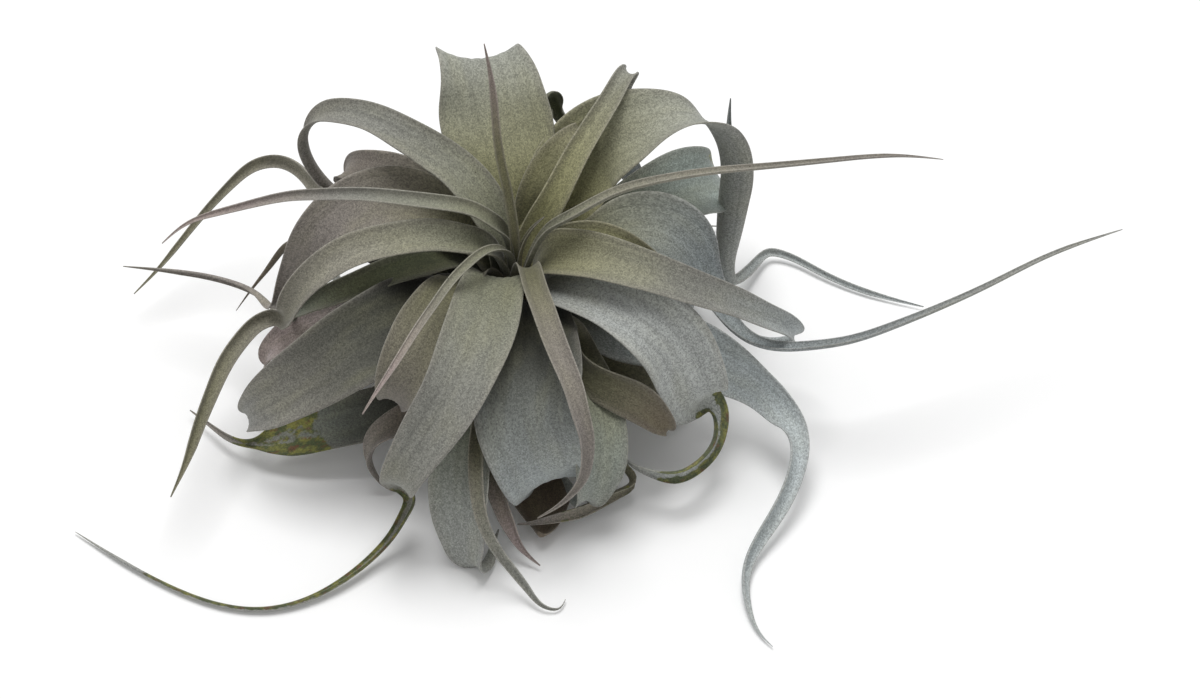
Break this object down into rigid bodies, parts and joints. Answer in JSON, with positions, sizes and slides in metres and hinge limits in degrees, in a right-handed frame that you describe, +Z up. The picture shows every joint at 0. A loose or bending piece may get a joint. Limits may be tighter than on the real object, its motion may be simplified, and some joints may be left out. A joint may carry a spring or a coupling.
{
  "type": "air plant",
  "caption": "Bare air plant: a rosette of silvery channelled leaves that arch, recurve and end in long rolled tips, standing on its stem end and lowest leaves.",
  "frame": {"origin": "on the resting surface, in the middle of the stem's flat cut end, under the heart of the rosette", "axes": "+Z up along the stem, +X to the right as the plant is seen from the front, along its longest tip, +Y to the back"},
  "size_m": [0.3792, 0.245, 0.1582],
  "materials": {
    "stem": "rough, dry and fibrous",
    "young_leaf": "matte and velvety, grey green with a pink tinge at the tips",
    "leaf": "matte and velvety, silver grey, greener towards the heart",
    "old_leaf": "matte, browner, with moss on some"
  },
  "bodies": {
    "root": {"stem": "stem", "leaf_01_needle": "young_leaf", "leaf_02_heart": "young_leaf", "leaf_03_long_right_tip": "young_leaf", "leaf_04_curled_pink": "young_leaf", "leaf_05_long_left_tip": "young_leaf", "leaf_06_front_strap": "young_leaf", "leaf_07_upright_blade": "leaf", "leaf_08_right_strap": "leaf", "leaf_45_right_green_blade": "leaf", "leaf_09_left_strap": "leaf", "leaf_10_front_left_blade": "leaf", "leaf_11_front_right_blade": "leaf", "leaf_12_top_back_blade": "leaf", "leaf_13_upper_left_strap": "leaf", "leaf_14_big_arc": "leaf", "leaf_15_left_blade": "leaf", "leaf_16_right_blade": "leaf", "leaf_17_front_blade": "leaf", "leaf_18_left_low_blade": "leaf", "leaf_19_behind_front_left": "leaf", "leaf_20_left_strip": "leaf", "leaf_21_behind_left_low": "leaf", "leaf_22_front_right_low": "leaf", "leaf_23_brown_fold": "old_leaf", "leaf_24_behind_left_tip": "leaf", "leaf_25_behind_arc": "leaf", "leaf_26_back_green": "leaf", "leaf_46_behind_left_fold": "leaf", "leaf_47_back_dark_fold": "leaf", "leaf_27_back_left_tip": "old_leaf", "leaf_28_right_low": "leaf", "leaf_29_front_foot": "leaf", "leaf_30_front_tail": "leaf", "leaf_31_pink_strap": "old_leaf", "leaf_32_curl_under_front": "old_leaf", "leaf_48_brown_under_front": "old_leaf", "leaf_33_mossy_left": "old_leaf", "leaf_34_brown_left": "old_leaf", "leaf_35_back_upper_right": "leaf", "leaf_36_back_upper_left": "leaf", "leaf_37_back_low_right": "leaf", "leaf_38_back_low_right": "leaf", "leaf_39_back_low": "leaf", "leaf_40_back_low": "leaf", "leaf_41_back_low_left": "leaf", "leaf_42_back_low_left": "leaf", "leaf_43_left_foot": "old_leaf", "leaf_44_right_foot": "old_leaf"}
  },
  "joints": []
}
